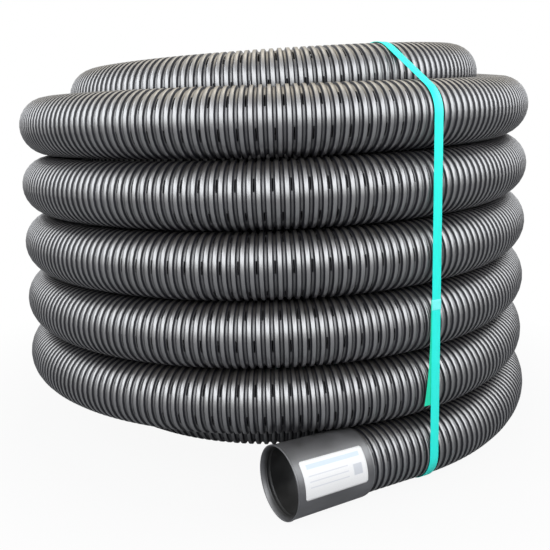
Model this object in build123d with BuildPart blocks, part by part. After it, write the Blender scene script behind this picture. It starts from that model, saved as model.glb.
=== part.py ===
"""A coil of corrugated drainage pipe with a plain sleeve on its loose end, a sticker and two straps.

Millimetres, +Z up. The origin is on the coil's axis, on the floor that the coil stands on. The loose end runs
along -X, at the coil's -Y side.
"""
from build123d import *
from math import cos, degrees, radians, sin, sqrt
import os

os.makedirs("parts", exist_ok=True)

# Pipe: diameter over the ribs, depth, spacing and top width of the ribs, wall, and the inner end's open depth
pipe_d = 100.0
rib_pitch = 11.6
rib_depth = 4.0
rib_top = 6.6
wall = 1.5
inner_end_depth = 60.0

# Coil: centreline of the top turn, the gaps between turns and between layers, and how the outer layer
# widens and tilts more from each turn to the one below
top_radius = 408.9
turn_gap = 1.2
inner_gap = 2.8
layer_gap = 1.5
flare = 2.65
outer_turns = 5
inner_turns = 5
top_rise = 37.7
more_rise = 1.5

# Each turn is highest at one angle round the coil, from the loose end, and lowest opposite
high_side = 60.0

# Where the pipe leaves the outer layer it rides over the turn below and rolls inwards: angle past the
# high side, and the lean of the upper turn on the lower one, where 90 is straight above it
ride_gap = 1.6
nest_lean = 30.0
rolling = [(45, 90), (90, 87), (126, 71), (153, 51)]
settling_arc = 25.0

# Inner end: the last turn hardly rises past its low side, drops to the floor behind the high side, lies on the
# strap that passes under it there, and goes up to the place below the turn above. Angles past the high side
tail_drop = -90.0
tail_rise = 6.0
tail_lies = [50.0, 110.0, 130.0]
tail_end = 277.5

# Loose end: how far it swings out of the coil and drops below it, how far the turn that it comes from
# bulges at the high side, and its free length
swing = 5.0
drop = 3.3
bulge = 8.0
free_length = 114.0

# Sleeve: length, sockets, and the stop ring between the pipe's end and the next pipe's
sleeve_length = 130.0
sleeve_wall = 1.9
sleeve_taper = 1.6
socket_clearance = 0.6
stop_width = 4.0
stop_height = 3.5
end_gap = 0.3
rim_width = 3.0
rim_height = 0.8

# Sticker on the sleeve
label_length = 96.0
label_height = 55.0
label_thickness = 0.2
label_gap = 0.1
label_inset = 12.0
label_corner = 3.0
label_faces = 23.0

# Straps: width, thickness, and how far they stand off the ribs
strap_width = 16.0
strap_thickness = 0.8
strap_gap = 0.3
strap_names = ["strap_front", "strap_back"]

# The coil is drawn in short straight stretches of a many-sided section
stretches_per_turn = 20
section_sides = 12

pipe_r = pipe_d / 2
bore_r = pipe_r - rib_depth - wall
pitch = pipe_d + turn_gap
inner_radius = top_radius - pipe_d - layer_gap
socket_r = pipe_r + socket_clearance
mouth_r = socket_r + sleeve_wall + sleeve_taper
strap_reach = strap_gap + strap_thickness
loose_height = mouth_r + rim_height
loose_radius = top_radius + flare * outer_turns + swing


def over(radius, height, lean):
    """Where a turn lies that leans inwards on the turn at a radius and height."""
    apart = pitch + ride_gap
    return radius - apart * cos(radians(lean)), height + apart * sin(radians(lean))


def coil_stations():
    """The centreline as (angle, radius, height), from the loose end up the outer layer and down the inner one.

    Angles run anticlockwise from the -Y side, seen from above.
    """
    rise = top_rise + more_rise * (outer_turns - 1)
    high = loose_height + drop + rise * high_side / 180
    stations = [(0, loose_radius, loose_height)]
    stations.append((high_side, top_radius + flare * outer_turns + bulge, high))
    for turn in range(outer_turns):
        below = outer_turns - turn - 1
        middle = high + pitch - rise / 2
        rise = top_rise + more_rise * below
        low = middle - rise / 2
        high_below, high = high, middle + rise / 2
        low_radius = top_radius + flare * (below + 0.5)
        stations.append((high_side + 180 + 360 * turn, low_radius, low))
        stations.append((high_side + 360 + 360 * turn, top_radius + flare * below, high))
    change = high_side + 360 * outer_turns
    for turned, lean in rolling:
        share = turned / 180
        under = (low_radius + flare * (0.5 - share / 2), high_below + (low - high_below) * share)
        stations.append((change + turned, *over(*under, lean)))
    nested_low = over(low_radius, low, nest_lean)
    nested_high = over(top_radius, high, nest_lean)
    stations.append((change + 180, *nested_low))
    stations.append((change + 360, *nested_high))
    stations.append((change + 360 + settling_arc, inner_radius, None))
    for turn in range(1, inner_turns):
        fall = (pipe_d + inner_gap) * turn
        stations.append((change + 180 + 360 * turn, inner_radius, nested_low[1] - fall))
        stations.append((change + 360 + 360 * turn, inner_radius, nested_high[1] - fall))
    # The last inner turn leaves the helix, lies on the floor for a while and ends below itself
    floor_angle = change + 360 * inner_turns
    last_low = stations[-2][2]
    end_low = last_low - pipe_d - inner_gap
    stations[-1] = (floor_angle + tail_drop, inner_radius, last_low + tail_rise)
    lies_on = [pipe_r, pipe_r + strap_reach, pipe_r + strap_reach]
    stations += [(floor_angle + past, inner_radius, height) for past, height in zip(tail_lies, lies_on)]
    stations.append((floor_angle + 180, inner_radius, end_low))
    stations.append((floor_angle + tail_end, inner_radius, end_low + tail_rise))
    return stations


def smooth(angle, knots):
    """A curve through the knots that never swings past them, read at one angle."""
    slopes = [0.0]
    for before, knot, after in zip(knots, knots[1:], knots[2:]):
        rise_in = (knot[1] - before[1]) / (knot[0] - before[0])
        rise_out = (after[1] - knot[1]) / (after[0] - knot[0])
        level = rise_in * rise_out <= 0
        slopes.append(0.0 if level else 2 * rise_in * rise_out / (rise_in + rise_out))
    slopes.append(0.0)
    span = next((i for i in range(len(knots) - 1) if angle <= knots[i + 1][0]), len(knots) - 2)
    (a, start), (b, end) = knots[span], knots[span + 1]
    width = b - a
    t = (angle - a) / width
    return (
        (2 * t**3 - 3 * t**2 + 1) * start
        + (t**3 - 2 * t**2 + t) * width * slopes[span]
        + (3 * t**2 - 2 * t**3) * end
        + (t**3 - t**2) * width * slopes[span + 1]
    )


stations = coil_stations()
radius_knots = [(angle, radius) for angle, radius, height in stations]
height_knots = [(angle, height) for angle, radius, height in stations if height is not None]
coil_start = stations[0][0]
coil_end = stations[-1][0]


def coil_point(angle, reach=1.0):
    """The point at an angle round the coil, on the pipe's centreline or farther out by a factor."""
    radius = smooth(angle, radius_knots) * reach
    return Vector(radius * sin(radians(angle)), -radius * cos(radians(angle)), smooth(angle, height_knots))


def across(point, direction):
    """The plane square to a direction at a point, with its X axis level."""
    return Plane(origin=point, x_dir=direction.cross(Vector(0, 0, 1)), z_dir=direction)


# Loose end: straight from where it leaves the coil
loose_start = coil_point(coil_start)
loose_way = Vector(-1, 0, 0)
pipe_end = free_length + (sleeve_length - stop_width) / 2 - end_gap
mouth_end = free_length + sleeve_length
along_loose = Plane(origin=loose_start, x_dir=loose_way, z_dir=(0, -1, 0))
loose_axis = Axis(loose_start, loose_way)


def rib_outline(length):
    """The ribbed outer line of the pipe as (along, radius), ribs first at the pipe's own end."""
    foot = pipe_r - rib_depth
    flank = (rib_pitch - rib_top) / 2
    points = [(length, foot)]
    start = length
    while start - rib_pitch > 0:
        points.append((start - flank, pipe_r))
        points.append((start - flank - rib_top, pipe_r))
        points.append((start - rib_pitch, foot))
        start -= rib_pitch
    points.append((0, foot))
    return points


# Pipe: the coil and its ribbed loose end, one moulded length
stretch = 360 / stretches_per_turn
stretch_count = int((coil_end - coil_start) / stretch)
corner_angles = [coil_start + stretch * (number + 0.5) for number in range(stretch_count)]
# The corners lie outside the centreline, so that each stretch touches it in the middle
corner_reach = 1 / cos(radians(stretch / 2))
coil_path = [coil_point(coil_start)] + [coil_point(angle, corner_reach) for angle in corner_angles]
tail_way = (coil_path[-1] - coil_path[-2]).normalized()

with BuildPart() as pipe:
    with BuildLine():
        Polyline(*coil_path)
    with BuildSketch(across(coil_path[0], coil_path[1] - coil_path[0])):
        RegularPolygon(pipe_r, section_sides)
    sweep(transition=Transition.RIGHT)
    with BuildSketch(along_loose):
        with BuildLine():
            Polyline((0, 0), *rib_outline(pipe_end)[::-1], (pipe_end, 0), close=True)
        make_face()
    revolve(axis=loose_axis)
    with BuildSketch(across(loose_start + loose_way * pipe_end, loose_way)):
        Circle(bore_r)
    extrude(amount=-pipe_end, mode=Mode.SUBTRACT)
    with BuildSketch(across(coil_path[-1], tail_way)):
        Circle(bore_r)
    extrude(amount=-inner_end_depth, mode=Mode.SUBTRACT)
pipe.part.label = "pipe"
export_step(pipe.part, "parts/pipe.step")


def sleeve_outside(along):
    """The radius of the sleeve's outside, which widens from the coil's end to the mouth."""
    return socket_r + sleeve_wall + sleeve_taper * (along - free_length) / (sleeve_length - rim_width)


def sleeve_outline():
    """The sleeve's wall as (along, radius): outside from the coil's end to the mouth, then back inside."""
    middle = free_length + sleeve_length / 2
    stop_r = socket_r - stop_height
    return [
        (free_length, socket_r),
        (free_length, sleeve_outside(free_length)),
        (mouth_end - rim_width, mouth_r),
        (mouth_end - rim_width, mouth_r + rim_height),
        (mouth_end, mouth_r + rim_height),
        (mouth_end, socket_r + sleeve_taper),
        (mouth_end - 2 * rim_width, socket_r),
        (middle + stop_width / 2, socket_r),
        (middle + stop_width / 2, stop_r),
        (middle - stop_width / 2, stop_r),
        (middle - stop_width / 2, socket_r),
    ]


with BuildPart() as sleeve:
    with BuildSketch(along_loose):
        with BuildLine():
            Polyline(*sleeve_outline(), close=True)
        make_face()
    revolve(axis=loose_axis)
sleeve.part.label = "coupling_sleeve"
export_step(sleeve.part, "parts/coupling_sleeve.step")


# Sticker: a thin sheet bent round the sleeve, facing away from the coil and a little upwards
label_start = free_length + label_inset
label_end = label_start + label_length
label_arc = degrees(label_height / (sleeve_outside(label_start) + label_gap))
label_low = radians(label_faces - label_arc / 2)
label_edge = Vector(0, -cos(label_low), sin(label_low))
with BuildPart() as label:
    with BuildSketch(Plane(origin=loose_start, x_dir=loose_way, z_dir=loose_way.cross(label_edge))):
        with BuildLine():
            Polyline(
                (label_start, sleeve_outside(label_start) + label_gap),
                (label_end, sleeve_outside(label_end) + label_gap),
                (label_end, sleeve_outside(label_end) + label_gap + label_thickness),
                (label_start, sleeve_outside(label_start) + label_gap + label_thickness),
                close=True,
            )
        make_face()
    revolve(axis=loose_axis, revolution_arc=label_arc)
    fillet(label.edges().sort_by(SortBy.LENGTH)[:4], label_corner)
label.part.label = "label"
export_step(label.part, "parts/label.step")


def turns_at(outward):
    """Where the pipe crosses the upright plane of a strap: (radius, height, how square it is to the plane)."""
    level = Vector(-outward.Y, outward.X, 0)
    centreline = [loose_start + loose_way * mouth_end] + coil_path
    crossings = []
    for near, far in zip(centreline, centreline[1:]):
        before, after = near.dot(level), far.dot(level)
        if before <= 0 < after and near.dot(outward) > 0:
            point = near + (far - near) * (before / (before - after))
            crossings.append((point.dot(outward), point.Z, (far - near).normalized().dot(level)))
    return crossings


def strap_line(outward, stand_off):
    """The closed line of a strap pulled tight round every turn that it crosses."""
    with BuildSketch() as line:
        for radius, height, square in turns_at(outward):
            lean = sqrt(max(0, 1 - square**2))
            with Locations((radius, height)):
                Circle((pipe_r + lean * strap_width / 2) / square + stand_off)
        make_hull(mode=Mode.REPLACE)
    return line.sketch


for number, name in enumerate(strap_names):
    azimuth = 360 * number / len(strap_names)
    outward = Vector(sin(radians(azimuth)), -cos(radians(azimuth)), 0)
    radial = Plane(origin=(0, 0, 0), x_dir=outward, z_dir=outward.cross(Vector(0, 0, 1)))
    with BuildPart() as strap:
        with BuildSketch(radial):
            add(strap_line(outward, strap_reach))
            add(strap_line(outward, strap_gap), mode=Mode.SUBTRACT)
        extrude(amount=strap_width / 2, both=True)
    strap.part.label = name
    export_step(strap.part, f"parts/{name}.step")
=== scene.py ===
"""The looks of a coil of corrugated drainage pipe: its ribs, slots, sleeve, sticker and straps.

Metres and degrees, in the part's own frame: +Z up, the origin on the coil's axis at the level of the floor,
and the loose end along -X at the coil's -Y side.
"""
import bpy
import numpy as np
from math import cos, pi, radians, sin
from mathutils import Matrix, Vector


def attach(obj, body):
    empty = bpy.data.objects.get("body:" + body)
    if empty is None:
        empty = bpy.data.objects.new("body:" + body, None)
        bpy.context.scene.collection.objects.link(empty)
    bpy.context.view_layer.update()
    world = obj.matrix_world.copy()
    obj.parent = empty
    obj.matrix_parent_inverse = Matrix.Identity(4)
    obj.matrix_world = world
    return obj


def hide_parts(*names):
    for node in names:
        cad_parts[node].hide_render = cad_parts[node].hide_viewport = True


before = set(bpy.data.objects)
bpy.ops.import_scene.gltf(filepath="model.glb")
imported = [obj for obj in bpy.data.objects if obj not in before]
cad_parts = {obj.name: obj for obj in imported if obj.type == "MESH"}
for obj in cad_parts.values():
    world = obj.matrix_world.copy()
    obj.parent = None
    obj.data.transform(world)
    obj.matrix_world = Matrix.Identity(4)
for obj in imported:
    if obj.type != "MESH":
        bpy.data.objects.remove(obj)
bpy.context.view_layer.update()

MM = 0.001

# The sizes of the solids and the stations of the winding are those of the part's own source, unless a
# comment says otherwise

# Pipe: diameter over the ribs, spacing of the ribs, and wall
pipe_d = 100 * MM
rib_pitch = 11.6 * MM
wall = 1.5 * MM

# Coil: centreline of the top turn, the gaps between turns and between layers, and how the outer layer
# widens and tilts more from each turn to the one below
top_radius = 408.9 * MM
turn_gap = 1.2 * MM
inner_gap = 2.8 * MM
layer_gap = 1.5 * MM
flare = 2.65 * MM
outer_turns = 5
inner_turns = 5
top_rise = 37.7 * MM
more_rise = 1.5 * MM

# Each turn is highest at one angle round the coil, from the loose end, and lowest opposite
high_side = 60

# Where the pipe leaves the outer layer it rides over the turn below and rolls inwards: angle past the
# high side, and the lean of the upper turn on the lower one, where 90 is straight above it
ride_gap = 1.6 * MM
nest_lean = 30
rolling = [(45, 90), (90, 87), (126, 71), (153, 51)]
settling_arc = 25

# Inner end: where the last turn leaves the helix, lies on the floor and on a strap, and ends, as angles past
# the high side
tail_drop = -90
tail_rise = 6 * MM
tail_lies = [50, 110, 130]
tail_end = 277.5

# The photo shows the lowest inner turn until the sleeve hides it, so here the pipe goes on past the solid's
# end: how much further round its last station is, how far that lies below the solid's end, and how far short
# of it the pipe is cut
hidden_end = 24
hidden_drop = 16 * MM
hidden_cut = 2

# Loose end: how far it swings out of the coil and drops below it, how far the turn that it comes from
# bulges at the high side, and its free length
swing = 5 * MM
drop = 3.3 * MM
bulge = 8 * MM
free_length = 114 * MM

# Sleeve: length, sockets, the stop ring between the pipe's end and the next pipe's, and the rim
sleeve_length = 130 * MM
sleeve_wall = 1.9 * MM
sleeve_taper = 1.6 * MM
socket_clearance = 0.6 * MM
stop_width = 4 * MM
stop_height = 3.5 * MM
end_gap = 0.3 * MM
rim_width = 3 * MM
rim_height = 0.8 * MM

# Sticker on the sleeve, 10 mm longer than the solid, as the photo shows it
label_length = 106 * MM
label_height = 55 * MM
label_thickness = 0.2 * MM
label_gap = 0.1 * MM
label_inset = 12 * MM
label_corner = 3 * MM
label_faces = 23

# Straps: width, thickness, how far they stand off the ribs, and where round the coil they are
strap_width = 16 * MM
strap_thickness = 0.8 * MM
strap_gap = 0.3 * MM
strap_azimuths = {"strap_front": 0, "strap_back": 180}

pipe_r = pipe_d / 2
pitch = pipe_d + turn_gap
inner_radius = top_radius - pipe_d - layer_gap
socket_r = pipe_r + socket_clearance
mouth_r = socket_r + sleeve_wall + sleeve_taper
strap_reach = strap_gap + strap_thickness
loose_height = mouth_r + rim_height
loose_radius = top_radius + flare * outer_turns + swing

# Where the pipe and the sleeve end along the loose end, from the coil
pipe_end = free_length + (sleeve_length - stop_width) / 2 - end_gap
mouth_end = free_length + sleeve_length


# Winding

def over(radius, height, lean):
    """Where a turn lies that leans inwards on the turn at a radius and height."""
    apart = pitch + ride_gap
    return radius - apart * cos(radians(lean)), height + apart * sin(radians(lean))


def coil_stations():
    """The centreline as (angle, radius, height), from the loose end up the outer layer and down the inner.

    Angles run anticlockwise from the -Y side, seen from above.
    """
    rise = top_rise + more_rise * (outer_turns - 1)
    high = loose_height + drop + rise * high_side / 180
    stations = [(0, loose_radius, loose_height)]
    stations.append((high_side, top_radius + flare * outer_turns + bulge, high))
    for turn in range(outer_turns):
        below = outer_turns - turn - 1
        middle = high + pitch - rise / 2
        rise = top_rise + more_rise * below
        low = middle - rise / 2
        high_below, high = high, middle + rise / 2
        low_radius = top_radius + flare * (below + 0.5)
        stations.append((high_side + 180 + 360 * turn, low_radius, low))
        stations.append((high_side + 360 + 360 * turn, top_radius + flare * below, high))
    change = high_side + 360 * outer_turns
    for turned, lean in rolling:
        share = turned / 180
        under = (low_radius + flare * (0.5 - share / 2), high_below + (low - high_below) * share)
        stations.append((change + turned, *over(*under, lean)))
    nested_low = over(low_radius, low, nest_lean)
    nested_high = over(top_radius, high, nest_lean)
    stations.append((change + 180, *nested_low))
    stations.append((change + 360, *nested_high))
    stations.append((change + 360 + settling_arc, inner_radius, None))
    for turn in range(1, inner_turns):
        fall = (pipe_d + inner_gap) * turn
        stations.append((change + 180 + 360 * turn, inner_radius, nested_low[1] - fall))
        stations.append((change + 360 + 360 * turn, inner_radius, nested_high[1] - fall))
    # The last inner turn leaves the helix, lies on the floor for a while and goes on below itself
    floor_angle = change + 360 * inner_turns
    last_low = stations[-2][2]
    end_low = last_low - pipe_d - inner_gap
    stations[-1] = (floor_angle + tail_drop, inner_radius, last_low + tail_rise)
    lies_on = [pipe_r, pipe_r + strap_reach, pipe_r + strap_reach]
    stations += [(floor_angle + past, inner_radius, height) for past, height in zip(tail_lies, lies_on)]
    stations.append((floor_angle + 180, inner_radius, end_low))
    stations.append((floor_angle + tail_end, inner_radius, end_low + tail_rise))
    stations.append((floor_angle + tail_end + hidden_end, inner_radius, end_low + tail_rise - hidden_drop))
    return stations


def smooth(angles, knots):
    """A curve through the knots that never swings past them, read at many angles."""
    at, value = np.array(knots).T
    rise = np.diff(value) / np.diff(at)
    both = rise[:-1] * rise[1:]
    total = rise[:-1] + rise[1:]
    slope = np.zeros(len(at))
    slope[1:-1] = np.where(both > 0, 2 * both / np.where(total == 0, 1, total), 0)
    span = np.clip(np.searchsorted(at, angles) - 1, 0, len(at) - 2)
    width = at[span + 1] - at[span]
    t = (angles - at[span]) / width
    return (
        (2 * t**3 - 3 * t**2 + 1) * value[span]
        + (t**3 - 2 * t**2 + t) * width * slope[span]
        + (3 * t**2 - 2 * t**3) * value[span + 1]
        + (t**3 - t**2) * width * slope[span + 1]
    )


stations = coil_stations()
coil_start = stations[0][0]
coil_end = stations[-1][0] - hidden_cut


def coil_points(angles):
    """Points of the pipe's centreline at angles round the coil."""
    radius = smooth(angles, [(angle, out) for angle, out, height in stations])
    height = smooth(angles, [(angle, height) for angle, out, height in stations if height is not None])
    turned = np.radians(angles)
    return np.stack([radius * np.sin(turned), -radius * np.cos(turned), height], axis=1)


loose_start = coil_points(np.array([float(coil_start)]))[0]
loose_way = np.array([-1.0, 0.0, 0.0])
upward = np.array([0.0, 0.0, 1.0])
loose_out = np.cross(-loose_way, upward)

# The centreline is sampled every so many degrees of the coil and at so many places of the loose end, and its
# direction is taken over a short reach to each side
coil_sample = 0.25
loose_samples = 90
way_reach = 2 * MM


class Winding:
    """The pipe's centreline by its length, from the end inside the sleeve to the inner end."""

    def __init__(self):
        angles = np.arange(coil_start, coil_end + coil_sample / 2, coil_sample)
        back = np.linspace(pipe_end, 0, loose_samples, endpoint=False)
        loose = loose_start + loose_way * back[:, None]
        self.points = np.vstack([loose, coil_points(angles)])
        steps = np.linalg.norm(np.diff(self.points, axis=0), axis=1)
        self.lengths = np.concatenate([[0], np.cumsum(steps)])
        self.turned = np.concatenate([np.full(len(loose), float(coil_start)), angles])
        self.total = self.lengths[-1]

    def place(self, at):
        """Points at lengths along the pipe."""
        return np.stack([np.interp(at, self.lengths, self.points[:, axis]) for axis in range(3)], axis=1)

    def frames(self, at):
        """Point, outward and upward directions and the angle round the coil at lengths along the pipe."""
        before = self.place(np.maximum(at - way_reach, 0))
        way = self.place(np.minimum(at + way_reach, self.total)) - before
        way /= np.linalg.norm(way, axis=1)[:, None]
        up = upward - way * way[:, 2:3]
        up /= np.linalg.norm(up, axis=1)[:, None]
        return self.place(at), np.cross(way, up), up, np.interp(at, self.lengths, self.turned)


winding = Winding()


# Meshes

uv_name = "along_and_round"


def build_mesh(name, verts, quads, uv=None, second=None, flat=None):
    """An object from numpy arrays, with a UV map, its second material's quads and its flat-shaded quads."""
    mesh = bpy.data.meshes.new(name)
    mesh.vertices.add(len(verts))
    mesh.vertices.foreach_set("co", np.asarray(verts, dtype=np.float32).ravel())
    mesh.loops.add(quads.size)
    mesh.loops.foreach_set("vertex_index", quads.astype(np.int32).ravel())
    mesh.polygons.add(len(quads))
    mesh.polygons.foreach_set("loop_start", np.arange(0, quads.size, 4, dtype=np.int32))
    rounded = np.ones(len(quads), dtype=bool) if flat is None else ~flat
    mesh.polygons.foreach_set("use_smooth", rounded)
    if second is not None:
        mesh.polygons.foreach_set("material_index", second.astype(np.int32))
    if uv is not None:
        layer = mesh.uv_layers.new(name=uv_name)
        layer.data.foreach_set("uv", np.asarray(uv, dtype=np.float32).ravel())
    mesh.update(calc_edges=True)
    mesh.validate()
    obj = bpy.data.objects.new(name, mesh)
    bpy.context.scene.collection.objects.link(obj)
    return obj


def tube_quads(rings, sides):
    """Quads of a tube of rings, with the ring and side number of each."""
    ring, side = np.meshgrid(np.arange(rings - 1), np.arange(sides), indexing="ij")
    ring, side = ring.ravel(), side.ravel()
    after = (side + 1) % sides
    quads = np.stack([
        ring * sides + side,
        ring * sides + after,
        (ring + 1) * sides + after,
        (ring + 1) * sides + side,
    ], axis=1)
    return quads, ring, side


def tube_uv(along, across, ring, side):
    """UV corners of a tube's quads, from each ring's place along it and each side's two ends round it."""
    run = np.stack([along[ring], along[ring], along[ring + 1], along[ring + 1]], axis=1)
    circle = np.stack([across[side], across[side + 1], across[side + 1], across[side]], axis=1)
    return np.stack([run, circle], axis=2)


def shares_round(sides):
    """The share of the way round at which the sides of a tube begin and end."""
    return np.arange(sides + 1) / sides


def finish_piece(obj, node, slot, *materials):
    """Gives a piece its materials and its place in the frame."""
    for material in materials:
        obj.data.materials.append(material)
    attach(obj, "root")
    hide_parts(node)


# Nodes of materials

def node_material(name):
    """A new node material, its tree and its Principled shader."""
    material = bpy.data.materials.new(name)
    material.use_nodes = True
    return material, material.node_tree, material.node_tree.nodes["Principled BSDF"]


def add(tree, kind, **values):
    """A node with its input sockets set by name."""
    node = tree.nodes.new(kind)
    for key, value in values.items():
        node.inputs[key.replace("_", " ")].default_value = value
    return node


def feed(tree, value, socket):
    """Gives an input socket another socket, a colour or a number."""
    if isinstance(value, bpy.types.NodeSocket):
        tree.links.new(value, socket)
    elif isinstance(value, tuple):
        socket.default_value = (*value, 1)
    else:
        socket.default_value = value


def object_place(tree):
    """Where a point lies in the part's frame."""
    return tree.nodes.new("ShaderNodeTexCoord").outputs["Object"]


def surface_place(tree):
    """Where a point lies along and round or across its own piece."""
    node = tree.nodes.new("ShaderNodeUVMap")
    node.uv_map = uv_name
    return node.outputs["UV"]


def axes(tree, vector):
    """The sockets X, Y and Z of a vector."""
    split = tree.nodes.new("ShaderNodeSeparateXYZ")
    tree.links.new(vector, split.inputs["Vector"])
    return split.outputs


def maths(tree, operation, first, second=0.0):
    """The result of a maths operation on two sockets or numbers."""
    node = tree.nodes.new("ShaderNodeMath")
    node.operation = operation
    feed(tree, first, node.inputs[0])
    feed(tree, second, node.inputs[1])
    return node.outputs[0]


def times(tree, first, second):
    """The product of two sockets or numbers."""
    return maths(tree, "MULTIPLY", first, second)


def larger(tree, first, second):
    """The larger of two sockets, so that either one is enough."""
    return maths(tree, "MAXIMUM", first, second)


def ranged(tree, source, span, to=(0.0, 1.0)):
    """A socket's value mapped from one span to another, and held at its ends."""
    node = add(tree, "ShaderNodeMapRange", From_Min=span[0], From_Max=span[1], To_Min=to[0], To_Max=to[1])
    tree.links.new(source, node.inputs["Value"])
    return node.outputs["Result"]


def within(tree, source, span, soft=0.008):
    """1 where a socket's value lies within a span and 0 elsewhere, with soft edges."""
    low, high = span
    rising = ranged(tree, source, (low - soft, low + soft))
    falling = ranged(tree, source, (high - soft, high + soft), (1.0, 0.0))
    return times(tree, rising, falling)


def ramp(tree, source, stops):
    """A colour ramp over a socket, with (position, colour) stops."""
    node = tree.nodes.new("ShaderNodeValToRGB")
    while len(node.color_ramp.elements) < len(stops):
        node.color_ramp.elements.new(0.5)
    for element, (position, colour) in zip(node.color_ramp.elements, stops):
        element.position = position
        element.color = (*colour, 1)
    tree.links.new(source, node.inputs[0])
    return node.outputs["Color"]


def blend(tree, factor, first, second):
    """A mix of two colours or colour sockets by a socket."""
    node = tree.nodes.new("ShaderNodeMix")
    node.data_type = "RGBA"
    tree.links.new(factor, node.inputs["Factor"])
    colours = [socket for socket in node.inputs if socket.type == "RGBA"]
    for value, socket in zip((first, second), colours):
        feed(tree, value, socket)
    return [socket for socket in node.outputs if socket.type == "RGBA"][0]


def noise(tree, place, scale, detail=3.0, roughness=0.55):
    """A noise texture's value in some coordinates."""
    node = add(tree, "ShaderNodeTexNoise", Scale=scale, Detail=detail, Roughness=roughness)
    tree.links.new(place, node.inputs["Vector"])
    return node.outputs["Fac"]


def bumped(tree, shader, height, strength, distance):
    """A bump on a shader from a height socket."""
    bump = add(tree, "ShaderNodeBump", Strength=strength, Distance=distance)
    tree.links.new(height, bump.inputs["Height"])
    tree.links.new(bump.outputs["Normal"], shader.inputs["Normal"])


# Materials

# The values of a noise texture over which a change is spread: over the narrow span it is sharper
wide_noise = (0.3, 0.7)
narrow_noise = (0.35, 0.65)

# Dust and painted sheen of the light from above, as one pale tint: the upward part of a surface's direction
# over which it gathers, the noise over which drifts form and the share of it between them, and for the pipe
# the height above which it gathers, how soon it is full there and the share of it below
dust_and_sheen_facing = (0.5, 0.85)
dust_and_sheen_drifts = (0.3, 0.6)
dust_and_sheen_between_drifts = 0.55
dust_and_sheen_above = 530 * MM
dust_and_sheen_fade = 80 * MM
dust_and_sheen_below = 0.12


def dust_and_sheen_tint(tree, place, colour, dust_and_sheen, most, above=None):
    """A colour with a pale tint of dust and painted sheen on what faces up, in drifts, less of it below a
    height.
    """
    normal = tree.nodes.new("ShaderNodeNewGeometry").outputs["Normal"]
    facing = ranged(tree, axes(tree, normal)["Z"], dust_and_sheen_facing, (0.0, most))
    clouds = noise(tree, place, scale=9.0, detail=5.0, roughness=0.65)
    share = times(tree, facing, ranged(tree, clouds, dust_and_sheen_drifts, (dust_and_sheen_between_drifts, 1.0)))
    if above is not None:
        height = axes(tree, place)["Z"]
        share = times(tree, share, ranged(tree, height, (above, above + dust_and_sheen_fade), (dust_and_sheen_below, 1.0)))
    return blend(tree, share, colour, dust_and_sheen)


def crest_share(tree):
    """Where a point lies between the middle of a valley, at 0, and that of a rib's crest, at 0.5."""
    ribs = maths(tree, "DIVIDE", axes(tree, surface_place(tree))["X"], rib_pitch)
    return maths(tree, "PINGPONG", ribs, 0.5)


def pipe_plastic():
    """Black polyethylene: painted highlights on the crests and painted shade on the flanks, by how much they
    reflect, and a pale tint of dust and painted sheen on the highest turns.
    """
    material, tree, shader = node_material("black_pipe_plastic")
    black = (0.012, 0.012, 0.015)
    scuffed = (0.021, 0.021, 0.026)
    # Pale tan of dust and painted sheen of the warm light from above, gathered on the highest turns' upward
    # faces
    dust_and_sheen = (0.25, 0.205, 0.13)
    place = object_place(tree)
    cloud = noise(tree, place, scale=18.0, detail=4.0, roughness=0.6)
    tint = ramp(tree, cloud, [(wide_noise[0], black), (wide_noise[1], scuffed)])
    tree.links.new(dust_and_sheen_tint(tree, place, tint, dust_and_sheen, most=0.9, above=dust_and_sheen_above), shader.inputs["Base Color"])
    tree.links.new(ranged(tree, cloud, wide_noise, (0.33, 0.40)), shader.inputs["Roughness"])
    fine = noise(tree, place, scale=160.0, detail=2.0)
    bumped(tree, shader, fine, strength=0.05, distance=0.3 * MM)
    shader.inputs["IOR"].default_value = 2.2
    # The sheen changes at the foot of a flank and again at the edge of a crest, over these shares of the way
    foot_from, foot_to, edge_from, edge_to = 0.13, 0.17, 0.27, 0.31
    # Painted shade on the flanks and a painted highlight on the crests: the flanks are made to reflect less
    # and the crests more
    valley, flank, crest = [(level, level, level) for level in (0.5, 0.09, 1.0)]
    stops = [(foot_from, valley), (foot_to, flank), (edge_from, flank), (edge_to, crest)]
    tree.links.new(ramp(tree, crest_share(tree), stops), shader.inputs["Specular IOR Level"])
    return material


def slot_plastic():
    """The cut walls of the slots: the same plastic, rough in patches where the saw cut it, with a painted
    highlight that makes those patches paler.
    """
    material, tree, shader = node_material("cut_slot_plastic")
    black = (0.02, 0.02, 0.022)
    # Painted highlight on the slots' rims, in pale flecks
    painted_rim_highlight = (0.14, 0.14, 0.145)
    fray_and_highlight = noise(tree, object_place(tree), scale=900.0)
    tint = ramp(tree, fray_and_highlight, [(narrow_noise[0], black), (narrow_noise[1], painted_rim_highlight)])
    tree.links.new(tint, shader.inputs["Base Color"])
    tree.links.new(ranged(tree, fray_and_highlight, wide_noise, (0.45, 0.7)), shader.inputs["Roughness"])
    bumped(tree, shader, fray_and_highlight, strength=0.3, distance=0.3 * MM)
    return material


def sleeve_plastic(name, dark, light, gloss):
    """Smooth black moulded plastic with faint flow marks, and a little dust and painted sheen on what faces
    up.
    """
    material, tree, shader = node_material(name)
    # Pale grey of dust and painted sheen of the light from above, on the sleeve's upward faces
    dust_and_sheen = (0.15, 0.145, 0.135)
    place = object_place(tree)
    cloud = noise(tree, place, scale=30.0, detail=5.0)
    tint = ramp(tree, cloud, [(wide_noise[0], dark), (wide_noise[1], light)])
    tree.links.new(dust_and_sheen_tint(tree, place, tint, dust_and_sheen, most=0.3), shader.inputs["Base Color"])
    tree.links.new(ranged(tree, cloud, narrow_noise, (0.36, 0.52)), shader.inputs["Roughness"])
    grain = noise(tree, place, scale=1400.0, detail=2.0)
    bumped(tree, shader, grain, strength=0.10, distance=0.2 * MM)
    shader.inputs["IOR"].default_value = 1.7
    shader.inputs["Specular IOR Level"].default_value = gloss
    return material


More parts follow.
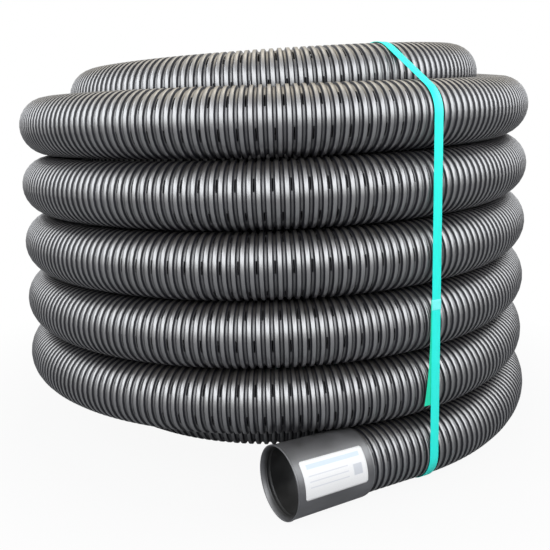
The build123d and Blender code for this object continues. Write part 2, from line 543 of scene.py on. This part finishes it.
def sticker_film():
    """White sticker film with faint ruled lines, a pale blue band and a grey square."""
    material, tree, shader = node_material("white_sticker_film")
    shaded = (0.80, 0.79, 0.78)
    white = (0.88, 0.87, 0.86)
    line_grey = (0.66, 0.66, 0.69)
    band_blue = (0.62, 0.70, 0.88)
    square_grey = (0.60, 0.61, 0.64)
    # Each mark's span along the sticker, its span up it, and its colour
    line_height = 0.025
    marks = [((0.30, 0.92), (level, level + line_height), line_grey) for level in (0.30, 0.44, 0.58)]
    marks.append(((0.08, 0.92), (0.76, 0.88), band_blue))
    marks.append(((0.08, 0.22), (0.30, 0.58), square_grey))
    place = surface_place(tree)
    split = axes(tree, place)
    paper = noise(tree, place, scale=60.0)
    marked = ramp(tree, paper, [(wide_noise[0], shaded), (wide_noise[1], white)])
    for along, up, colour in marks:
        mark = times(tree, within(tree, split["X"], along), within(tree, split["Y"], up))
        marked = blend(tree, mark, marked, colour)
    tree.links.new(marked, shader.inputs["Base Color"])
    tree.links.new(ranged(tree, paper, wide_noise, (0.3, 0.42)), shader.inputs["Roughness"])
    return material


def strap_plastic(name, dark, light, axis, ridges):
    """Turquoise polypropylene band with so many fine ridges to a unit of one axis of its own surface."""
    material, tree, shader = node_material(name)
    place = surface_place(tree)
    cloud = noise(tree, place, scale=30.0)
    tint = ramp(tree, cloud, [(wide_noise[0], dark), (wide_noise[1], light)])
    tree.links.new(tint, shader.inputs["Base Color"])
    tree.links.new(ranged(tree, cloud, wide_noise, (0.35, 0.5)), shader.inputs["Roughness"])
    wave = maths(tree, "SINE", times(tree, axes(tree, place)[axis], ridges * 2 * pi))
    bumped(tree, shader, wave, strength=0.35, distance=0.2 * MM)
    return material


# Ridges run along a band, counted across its width, and across a weld, counted in a metre of it
band_ridges = 7
weld_ridges = 400

pipe_material = pipe_plastic()
slot_material = slot_plastic()
sleeve_material = sleeve_plastic(
    "black_sleeve_plastic", dark=(0.014, 0.014, 0.017), light=(0.060, 0.060, 0.066), gloss=1.0)
# The sleeve's inside is the same plastic with far darker colours: painted shade in its mouth and bore
inside_shade_material = sleeve_plastic(
    "sleeve_inside_painted_shade", dark=(0.008, 0.008, 0.008), light=(0.013, 0.013, 0.013), gloss=0.9)
sticker_material = sticker_film()
strap_material = strap_plastic(
    "turquoise_strap", dark=(0.010, 0.84, 0.70), light=(0.020, 0.95, 0.82), axis="Y", ridges=band_ridges)
weld_material = strap_plastic(
    "welded_strap", dark=(0.13, 0.93, 0.85), light=(0.25, 0.97, 0.92), axis="X", ridges=weld_ridges)
# The spare end is the same band in a darker, greener copy of its colours: painted shade where it hangs
# behind the band
spare_shade_material = strap_plastic(
    "spare_strap_painted_shade", dark=(0.004, 0.62, 0.36), light=(0.008, 0.74, 0.45), axis="Y", ridges=band_ridges)


# Corrugated pipe

# Ribs: how far their crests lie within the diameter, their depth, the rise of the rounded foot beside each
# valley, and the half widths of crest, valley and foot
crest_inset = 0.5 * MM
rib_depth = 3.8 * MM
foot_rise = 0.8 * MM
crest_half = 2.4 * MM
valley_half = 0.9 * MM
foot_half = 1.8 * MM
pipe_sides = 30

crest_r = pipe_r - crest_inset
valley_r = crest_r - rib_depth
foot_r = valley_r + foot_rise

# One rib's rings as (along, radius) from its crest to the next, and those of the half valley at an end
rib_profile = np.array([
    (-crest_half, crest_r),
    (crest_half, crest_r),
    (rib_pitch / 2 - foot_half, foot_r),
    (rib_pitch / 2 - valley_half, valley_r),
    (rib_pitch / 2 + valley_half, valley_r),
    (rib_pitch / 2 + foot_half, foot_r),
])
end_profile = np.array([(0, valley_r), (valley_half, valley_r), (foot_half, foot_r)])

# The rings of a rib from which its flanks and its slots start
flank_rings = (1, 5)
slot_ring = 3

# Slots: how many there are round each valley, how many sides of the pipe one takes, how far a valley's slots
# are turned from the next valley's, and the depth of their walls
slots_round = 3
slot_sides = 2
slot_spacing = pipe_sides // slots_round
slot_turn = slot_spacing // 2
slot_deep = 2.2 * MM

# The rows of slots wind slowly round the pipe: how far up they are at one angle round the coil, and how much
# further each turn
slot_rows_at = 1770
slot_rows_up = 39
slot_rows_wind = 15

# The points round the edge of a slot, as (ring, side) from its first
slot_edge = [(0, 0), (0, 1), (0, 2), (1, 2), (1, 1), (1, 0)]

rib_count = int(winding.total / rib_pitch)
pipe_length = rib_count * rib_pitch


def rib_rings(first_rib, last_rib):
    """Lengths and radii of the rings between two rib crests."""
    crests = (np.arange(first_rib, last_rib) + 0.5) * rib_pitch
    at = (crests[:, None] + rib_profile[None, :, 0]).ravel()
    radius = np.tile(rib_profile[:, 1], last_rib - first_rib)
    return np.append(at, (last_rib + 0.5) * rib_pitch - crest_half), np.append(radius, crest_r)


def with_end(at, radius, which):
    """Rings with the half valley added at the pipe's end inside the sleeve, 0, or its inner end, 1."""
    along, end_radius = end_profile.T
    if which == 0:
        return np.concatenate([along, at]), np.concatenate([end_radius, radius])
    return np.concatenate([at, pipe_length - along[::-1]]), np.concatenate([radius, end_radius[::-1]])


def slot_start(valley):
    """The side at which the first slot of a valley starts."""
    return np.where(valley % 2, slot_turn, 0)


def slot_walls(verts, inward, ring, valley):
    """The walls of the slots that start at rings, one to a valley: their points and quads, numbered on."""
    walls, quads = [], []
    count = len(verts)
    for row in range(slots_round):
        first = row * slot_spacing + slot_start(valley)
        border = np.stack([(ring + r) * pipe_sides + (first + s) % pipe_sides for r, s in slot_edge], axis=1)
        top = count + np.arange(border.size).reshape(border.shape)
        low = top + border.size
        count += 2 * border.size
        walls += [verts[border].reshape(-1, 3), (verts[border] + inward[border]).reshape(-1, 3)]
        quad = np.stack([top, low, np.roll(low, -1, axis=1), np.roll(top, -1, axis=1)], axis=2)
        quads.append(quad.reshape(-1, 4))
    return np.vstack(walls), np.vstack(quads)


def tube(name, at, radius, lead=0, slotted=None):
    """A tube along the winding with a radius at each length, and slots in the valleys between two ribs.

    The rings of its first whole rib come after lead others.
    """
    point, out, up, turned = winding.frames(at)
    twist = np.radians(slot_rows_up + slot_rows_wind * (turned - slot_rows_at) / 360)
    around = twist[:, None] + (np.arange(pipe_sides) - slot_sides / 2) * 2 * pi / pipe_sides
    radial = np.cos(around)[..., None] * out[:, None] + np.sin(around)[..., None] * up[:, None]
    verts = (point[:, None] + radial * radius[:, None, None]).reshape(-1, 3)
    quads, ring, side = tube_quads(len(at), pipe_sides)
    uv = tube_uv(at, shares_round(pipe_sides), ring, side)
    rib, in_rib = np.divmod(ring - lead, len(rib_profile))
    flat = np.isin(in_rib, flank_rings)
    if slotted is None:
        return build_mesh(name, verts, quads, uv, flat=flat)

    first_rib, last_rib = slotted
    valley = first_rib + rib
    in_slot = (side - slot_start(valley)) % slot_spacing < slot_sides
    cut = (ring >= lead) & (valley < last_rib) & (in_rib == slot_ring) & in_slot
    ribs = np.arange(first_rib, last_rib)
    slot_rings = lead + (ribs - first_rib) * len(rib_profile) + slot_ring
    inward = -radial.reshape(-1, 3) * slot_deep
    walls, wall_quads = slot_walls(verts, inward, slot_rings, ribs)
    verts = np.vstack([verts, walls])
    quads = np.vstack([quads[~cut], wall_quads])
    uv = np.concatenate([uv[~cut], np.zeros((len(wall_quads), 4, 2))])
    flat = np.concatenate([flat[~cut], np.ones(len(wall_quads), dtype=bool)])
    is_wall = np.arange(len(quads)) >= len(quads) - len(wall_quads)
    return build_mesh(name, verts, quads, uv, is_wall, flat)


def make_pipe():
    """The pipe in one piece for each turn, split at rib crests, so that no piece is too heavy."""
    crest_turned = np.interp((np.arange(rib_count) + 0.5) * rib_pitch, winding.lengths, winding.turned)
    breaks = np.arange(coil_start + 360, coil_end, 360)
    cuts = [0] + [int(np.searchsorted(crest_turned, angle)) for angle in breaks] + [rib_count - 1]
    for number, (first, last) in enumerate(zip(cuts, cuts[1:])):
        at, radius = rib_rings(first, last)
        lead = 0
        if first == 0:
            at, radius = with_end(at, radius, 0)
            lead = len(end_profile)
        if last == rib_count - 1:
            at, radius = with_end(at, radius, 1)
        turn = tube(f"pipe_turn_{number + 1}", at, radius, lead, (first, last))
        finish_piece(turn, "pipe", "black_plastic", pipe_material, slot_material)


lining_ribs = 14


def make_linings():
    """The inside of the pipe behind its two open ends, with the lip that joins it to the outside."""
    for name, which, first in (("loose", 0, 0), ("inner", 1, rib_count - 1 - lining_ribs)):
        at, radius = with_end(*rib_rings(first, first + lining_ribs), which)
        lip = (1, 0) if which == 0 else (0, 1)
        at = np.pad(at, lip, mode="edge")
        radius = np.pad(radius - wall, lip, constant_values=valley_r)
        finish_piece(tube(f"pipe_lining_{name}_end", at, radius), "pipe", "black_plastic", pipe_material)


# Sleeve

# The rounding of its shoulder and its edges, and its seal rings: distances from the mouth, and height
shoulder = 8 * MM
edge = 0.5 * MM
seal_rings = [9 * MM, 15 * MM]
seal_ring_height = 0.45 * MM
sleeve_sides = 120

# A seal ring's line, as distances from its middle in edges and shares of its height
seal_ring_line = [(3, 0), (1, 1), (-1, 1), (-3, 0)]


def revolved(name, outside, inside, sides):
    """A closed outline of (along, radius) turned round the loose end, its inside in a second material."""
    along, radius = np.array(outside + inside + outside[:1]).T
    around = np.arange(sides) * 2 * pi / sides
    radial = np.cos(around)[:, None] * loose_out + np.sin(around)[:, None] * upward
    verts = loose_start + along[:, None, None] * loose_way + radius[:, None, None] * radial[None]
    verts = verts[:-1].reshape(-1, 3)
    quads, ring, side = tube_quads(len(along), sides)
    quads = quads % len(verts)
    uv = tube_uv(along, shares_round(sides), ring, side)
    return build_mesh(name, verts, quads[:, ::-1], uv[:, ::-1], ring >= len(outside))


def sleeve_outside(along):
    """The radius of the sleeve's outside, which widens from the coil's end to the mouth."""
    return socket_r + sleeve_wall + sleeve_taper * (along - free_length) / (sleeve_length - rim_width)


def shoulder_line(steps=6):
    """The sleeve's rounded shoulder at the coil's end, as (along, radius)."""
    height = sleeve_outside(free_length + shoulder) - socket_r - edge
    turns = [pi / 2 * step / steps for step in range(steps + 1)]
    start = socket_r + edge
    return [(free_length + shoulder * (1 - cos(turn)), start + height * sin(turn)) for turn in turns]


def sleeve_outside_line():
    """The sleeve's outside as (along, radius), from the rounded shoulder to the rim."""
    rim_start = mouth_end - rim_width
    rim_r = mouth_r + rim_height
    mouth_lip = socket_r + sleeve_taper + edge
    return shoulder_line() + [
        (rim_start - 2 * edge, mouth_r),
        (rim_start, mouth_r + edge / 4),
        (rim_start + edge, rim_r - edge / 4),
        (rim_start + 2 * edge, rim_r),
        (mouth_end - edge, rim_r),
        (mouth_end - edge / 3, rim_r - edge / 3),
        (mouth_end, rim_r - edge),
        (mouth_end, mouth_lip + edge),
        (mouth_end - edge, mouth_lip),
    ]


def sleeve_inside_line():
    """The sleeve's inside as (along, radius), from the mouth over the seal rings and the stop ring."""
    middle = free_length + sleeve_length / 2
    stop_near = middle + stop_width / 2
    stop_far = middle - stop_width / 2
    stop_r = socket_r - stop_height
    line = [(mouth_end - 2 * rim_width, socket_r)]
    for from_mouth in seal_rings:
        for beside, rise in seal_ring_line:
            line.append((mouth_end - from_mouth + beside * edge, socket_r - rise * seal_ring_height))
    return line + [
        (stop_near + edge, socket_r),
        (stop_near, socket_r - edge),
        (stop_near, stop_r + edge),
        (stop_near - edge, stop_r),
        (stop_far + edge, stop_r),
        (stop_far, stop_r + edge),
        (stop_far, socket_r - edge),
        (stop_far - edge, socket_r),
        (free_length + edge, socket_r),
    ]


def make_sleeve():
    """The sleeve, turned from one closed outline."""
    sleeve = revolved("sleeve_wall", sleeve_outside_line(), sleeve_inside_line(), sleeve_sides)
    finish_piece(sleeve, "coupling_sleeve", "sleeve_plastic", sleeve_material, inside_shade_material)


# Sticker

def label_sheet(name, rows=48, columns=24):
    """The sticker: a thin sheet with rounded corners bent round the sleeve."""
    start = free_length + label_inset
    along = np.linspace(0, label_length, rows)
    from_end = np.minimum(along, label_length - along)
    rounded = label_corner - np.sqrt(np.maximum(0, label_corner**2 - (label_corner - from_end) ** 2))
    inset = np.where(from_end < label_corner, rounded, 0)
    high = (label_height / 2 - inset)[:, None] * np.linspace(-1, 1, columns)[None]
    angle = radians(label_faces) + high / (sleeve_outside(start) + label_gap)
    radial = np.cos(angle)[..., None] * loose_out + np.sin(angle)[..., None] * upward
    surface = sleeve_outside(start + along) + label_gap
    spine = loose_start + (start + along)[:, None, None] * loose_way
    sheets = [spine + (surface + lift)[:, None, None] * radial for lift in (0, label_thickness)]
    verts = np.vstack([sheet.reshape(-1, 3) for sheet in sheets])
    count = rows * columns
    number = np.arange(count).reshape(rows, columns)
    grid = np.stack([number[:-1, :-1], number[:-1, 1:], number[1:, 1:], number[1:, :-1]], axis=2)
    grid = grid.reshape(-1, 4)
    border = np.concatenate([number[0], number[1:, -1], number[-1, -2::-1], number[-2:0:-1, 0]])
    after = np.roll(border, -1)
    sides = np.stack([border, border + count, after + count, after], axis=1)
    quads = np.vstack([grid, grid[:, ::-1] + count, sides])
    u = np.broadcast_to(along[:, None] / label_length, high.shape).ravel()
    v = (high / label_height + 0.5).ravel()
    flat_place = np.tile(np.stack([u, v], axis=1), (2, 1))
    return build_mesh(name, verts, quads, flat_place[quads])


def make_sticker():
    """The sticker on the sleeve's outside."""
    finish_piece(label_sheet("sticker_sheet"), "label", "sticker_film", sticker_material)


# Straps

# The chamfer of a band's long edges, the spacing of its points along a strap and along a short piece, and
# the angle between the points that stand for a turn of the pipe where the strap is pulled round it
band_edge = 0.25 * MM
strap_spacing = 5 * MM
short_spacing = 1.5 * MM
hull_step = 3

# The weld that joins each strap's ends: its two heights, width and thickness
weld_low = 282 * MM
weld_high = 301 * MM
weld_width = 17.2 * MM
weld_thickness = 1.2 * MM

# The spare length that hangs from the front weld: its lower end, how far it swings sideways at its upper
# and lower end, and its thickness
spare_low = 138 * MM
spare_first = 1.5 * MM
spare_swings = 12.5 * MM
spare_thickness = strap_gap / 2


def strap_ways(azimuth):
    """The outward and level directions of a strap's upright plane."""
    outward = np.array([sin(radians(azimuth)), -cos(radians(azimuth)), 0])
    return outward, np.array([-outward[1], outward[0], 0])


def turns_at(azimuth):
    """Where the pipe crosses the upright plane of a strap, as (radius, height)."""
    outward, level = strap_ways(azimuth)
    points = np.vstack([loose_start + loose_way * mouth_end, winding.points])
    before, after = points[:-1] @ level, points[1:] @ level
    crossed = np.nonzero((before <= 0) & (after > 0) & (points[:-1] @ outward > 0))[0]
    share = (before[crossed] / (before[crossed] - after[crossed]))[:, None]
    point = points[crossed] + (points[crossed + 1] - points[crossed]) * share
    return np.stack([point @ outward, point[:, 2]], axis=1)


def hull(points):
    """The convex hull of flat points, anticlockwise."""
    points = sorted(map(tuple, points))
    chains = []
    for run in (points, points[::-1]):
        chain = []
        for point in run:
            while len(chain) > 1:
                (ax, ay), (bx, by) = chain[-2:]
                if (bx - ax) * (point[1] - ay) - (by - ay) * (point[0] - ax) > 0:
                    break
                chain.pop()
            chain.append(point)
        chains.append(chain[:-1])
    return np.array(chains[0] + chains[1])


def strap_path(azimuth, stand_off, spacing=strap_spacing):
    """Evenly spaced points of a closed strap pulled tight round every turn, as (radius, height)."""
    around = np.radians(np.arange(0, 360, hull_step))
    circle = np.stack([np.cos(around), np.sin(around)], axis=1) * (pipe_r + stand_off)
    line = hull((turns_at(azimuth)[:, None] + circle[None]).reshape(-1, 2))
    closed = np.vstack([line, line[:1]])
    lengths = np.concatenate([[0], np.cumsum(np.linalg.norm(np.diff(closed, axis=0), axis=1))])
    at = np.linspace(0, lengths[-1], int(lengths[-1] / spacing), endpoint=False)
    return np.stack([np.interp(at, lengths, closed[:, axis]) for axis in range(2)], axis=1)


def outside_run(azimuth, stand_off, low, high):
    """The stretch of a strap's outer side between two heights, from the top down."""
    path = strap_path(azimuth, stand_off, short_spacing)
    outer = path[(path[:, 0] > top_radius) & (path[:, 1] > low) & (path[:, 1] < high)]
    return outer[np.argsort(-outer[:, 1])]


def band_section(width, thickness):
    """The corners of a band's section with chamfered edges, as (across, lift)."""
    half, thick = width / 2, thickness / 2
    soft = min(band_edge, thick / 2)
    return [
        (-half + soft, -thick),
        (half - soft, -thick),
        (half, -thick + soft),
        (half, thick - soft),
        (half - soft, thick),
        (-half + soft, thick),
        (-half, thick - soft),
        (-half, -thick + soft),
    ]


def ribbon(name, azimuth, path, width, thickness, closed=True, shift=0.0):
    """A flat band along a path in an upright plane, shifted sideways, with thin edges at its open ends."""
    outward, level = strap_ways(azimuth)
    lift_share = np.ones(len(path))
    if closed:
        way = np.roll(path, -1, axis=0) - np.roll(path, 1, axis=0)
    else:
        way = np.gradient(path, axis=0)
        lift_share[[0, -1]] = 0
    way /= np.linalg.norm(way, axis=1)[:, None]
    normal = np.stack([way[:, 1], -way[:, 0]], axis=1)
    section = band_section(width, thickness)
    sideways = np.zeros(len(path)) + shift
    lines = []
    for across, lift in section:
        flat = path + normal * (lift * lift_share)[:, None]
        lines.append(flat[:, :1] * outward + flat[:, 1:] * upward + (across + sideways)[:, None] * level)
    verts = np.stack(lines, axis=1).reshape(-1, 3)
    count = len(path)
    quads, ring, side = tube_quads(count + 1 if closed else count, len(section))
    quads = quads % len(verts)
    along = np.arange(count + 1) * np.linalg.norm(path[1] - path[0])
    across = np.array([across / width + 0.5 for across, lift in section + section[:1]])
    return build_mesh(name, verts, quads, tube_uv(along, across, ring, side))


def make_straps():
    """Each strap's closed band, and the weld on its outer side."""
    for node, azimuth in strap_azimuths.items():
        path = strap_path(azimuth, strap_gap + strap_thickness / 2)
        band = ribbon(f"{node}_band", azimuth, path, strap_width, strap_thickness)
        finish_piece(band, node, "strap_plastic", strap_material)
        path = outside_run(azimuth, strap_gap + weld_thickness / 2, weld_low, weld_high)
        weld = ribbon(f"{node}_weld", azimuth, path, weld_width, weld_thickness, closed=False)
        finish_piece(weld, node, "strap_plastic", weld_material)


def make_spare():
    """The spare length of the front strap, which swings out from behind the band."""
    azimuth = strap_azimuths["strap_front"]
    path = outside_run(azimuth, strap_gap / 2, spare_low, weld_high)
    share = (weld_high - path[:, 1]) / (weld_high - spare_low)
    shift = -spare_first - (spare_swings - spare_first) * share**3
    spare = ribbon("strap_front_spare", azimuth, path, strap_width, spare_thickness, False, shift)
    finish_piece(spare, "strap_front", "strap_plastic", spare_shade_material)


make_pipe()
make_linings()
make_sleeve()
make_sticker()
make_straps()
make_spare()


# Floor, light and camera, placed as the photographer sees the coil: x to the right, y away, z up

camera_azimuth = -30

# Floor: half its size, the grey that the lamps light, the distances from the coil's axis between which the
# camera's share of white grows, with that share at each, and those between which the share of reflections
# grows from nothing to all
floor_half = 12
floor_grey = 0.40
camera_white_span = (0.48, 0.85)
camera_white_share = (0.93, 1.0)
gloss_white_span = (2.5, 6.0)

# Soft boxes in a ring on the photographer's side of the coil
ring_azimuths = range(-105, 106, 30)
ring_distance = 1.9
ring_level = 1.3
ring_width = 1.0
ring_height = 1.15
ring_radiance = 2.62
ring_colour = (0.93, 0.96, 1.0)
ring_target = (0, 0, 0.35)

# A warmer soft box above the coil, and the world's even light
top_place = (0.0, 0.4, 2.6)
top_target = (0, 0, 0.3)
top_size = 1.2
top_radiance = 1.5
top_colour = (1.0, 0.93, 0.80)
world_light = 0.3

# The fitted camera: focal length in pixels of the photo, and where it stands and looks
image_size = 550
focal_px = 769.3
sensor_width = 36
camera_back = 1.4877
camera_height = 0.5908
camera_pitch = 13.14
camera_roll = 0.558


def photo_place(x, y, z):
    """A point given from the camera's side, in the part's frame."""
    turned = radians(camera_azimuth)
    return Vector((x * cos(turned) - y * sin(turned), x * sin(turned) + y * cos(turned), z))


def ray_kinds(tree):
    """Whether a ray is the camera's, and whether it is a glossy or a transmission ray."""
    paths = tree.nodes.new("ShaderNodeLightPath")
    sharp = larger(tree, paths.outputs["Is Glossy Ray"], paths.outputs["Is Transmission Ray"])
    return paths.outputs["Is Camera Ray"], sharp


def show_white(tree, plain, white, share, output):
    """Mixes a plain shader with a white one by a share, and feeds the output node."""
    mix = tree.nodes.new("ShaderNodeMixShader")
    tree.links.new(share, mix.inputs[0])
    tree.links.new(plain.outputs[0], mix.inputs[1])
    tree.links.new(white.outputs[0], mix.inputs[2])
    tree.links.new(mix.outputs[0], tree.nodes[output].inputs["Surface"])


def floor_white():
    """A matt grey that the camera sees as white, apart from the object's soft shadow."""
    material, tree, shader = node_material("floor_white")
    shader.inputs["Base Color"].default_value = (floor_grey, floor_grey, floor_grey, 1)
    shader.inputs["Roughness"].default_value = 0.9
    shader.inputs["Specular IOR Level"].default_value = 0.0
    length = tree.nodes.new("ShaderNodeVectorMath")
    length.operation = "LENGTH"
    tree.links.new(object_place(tree), length.inputs[0])
    distance = length.outputs["Value"]
    camera_ray, sharp_ray = ray_kinds(tree)
    seen = times(tree, ranged(tree, distance, camera_white_span, camera_white_share), camera_ray)
    mirrored = times(tree, ranged(tree, distance, gloss_white_span), sharp_ray)
    white = add(tree, "ShaderNodeEmission", Color=(1, 1, 1, 1), Strength=1.0)
    show_white(tree, shader, white, larger(tree, seen, mirrored), "Material Output")
    return material


def make_floor():
    """The pale floor that the coil stands on."""
    corners = np.array([(-1, -1, 0), (1, -1, 0), (1, 1, 0), (-1, 1, 0)]) * floor_half
    floor = build_mesh("floor", corners, np.array([[0, 1, 2, 3]]))
    floor.data.materials.append(floor_white())


def area_light(name, place, target, width, height, radiance, colour):
    """A rectangular soft light of a given radiance at a place, facing a target."""
    light = bpy.data.lights.new(name, "AREA")
    light.shape = "RECTANGLE"
    light.size = width
    light.size_y = height
    light.energy = radiance * pi * width * height
    light.color = colour
    obj = bpy.data.objects.new(name, light)
    obj.location = photo_place(*place)
    aim = photo_place(*target) - obj.location
    obj.rotation_euler = aim.to_track_quat("-Z", "Y").to_euler()
    bpy.context.scene.collection.objects.link(obj)


def make_lights():
    """The ring of soft boxes and the one above the coil."""
    for number, azimuth in enumerate(ring_azimuths):
        turned = radians(azimuth)
        place = (ring_distance * sin(turned), -ring_distance * cos(turned), ring_level)
        area_light(f"ring_{number}", place, ring_target, ring_width, ring_height, ring_radiance, ring_colour)
    area_light("top", top_place, top_target, top_size, top_size, top_radiance, top_colour)


def make_world():
    """An even light all round, which the camera and reflections see as white."""
    world = bpy.data.worlds.new("studio")
    bpy.context.scene.world = world
    world.use_nodes = True
    tree = world.node_tree
    plain = tree.nodes["Background"]
    plain.inputs["Color"].default_value = (1, 1, 1, 1)
    plain.inputs["Strength"].default_value = world_light
    white = add(tree, "ShaderNodeBackground", Color=(1, 1, 1, 1), Strength=1.0)
    camera_ray, sharp_ray = ray_kinds(tree)
    show_white(tree, plain, white, larger(tree, camera_ray, sharp_ray), "World Output")


def make_camera():
    """The camera at the photograph's viewing angle."""
    data = bpy.data.cameras.new("camera")
    data.sensor_fit = "HORIZONTAL"
    data.sensor_width = sensor_width
    data.lens = focal_px / image_size * sensor_width
    camera = bpy.data.objects.new("camera", data)
    turn = Matrix.Rotation(radians(camera_azimuth), 4, "Z")
    aim = Matrix.Rotation(radians(90 - camera_pitch), 4, "X")
    roll = Matrix.Rotation(radians(-camera_roll), 4, "Z")
    place = Matrix.Translation(photo_place(0, -camera_back, camera_height))
    camera.matrix_world = place @ turn @ aim @ roll
    bpy.context.scene.collection.objects.link(camera)
    bpy.context.scene.camera = camera


make_floor()
make_lights()
make_world()
make_camera()
bpy.context.scene.view_settings.view_transform = "Standard"
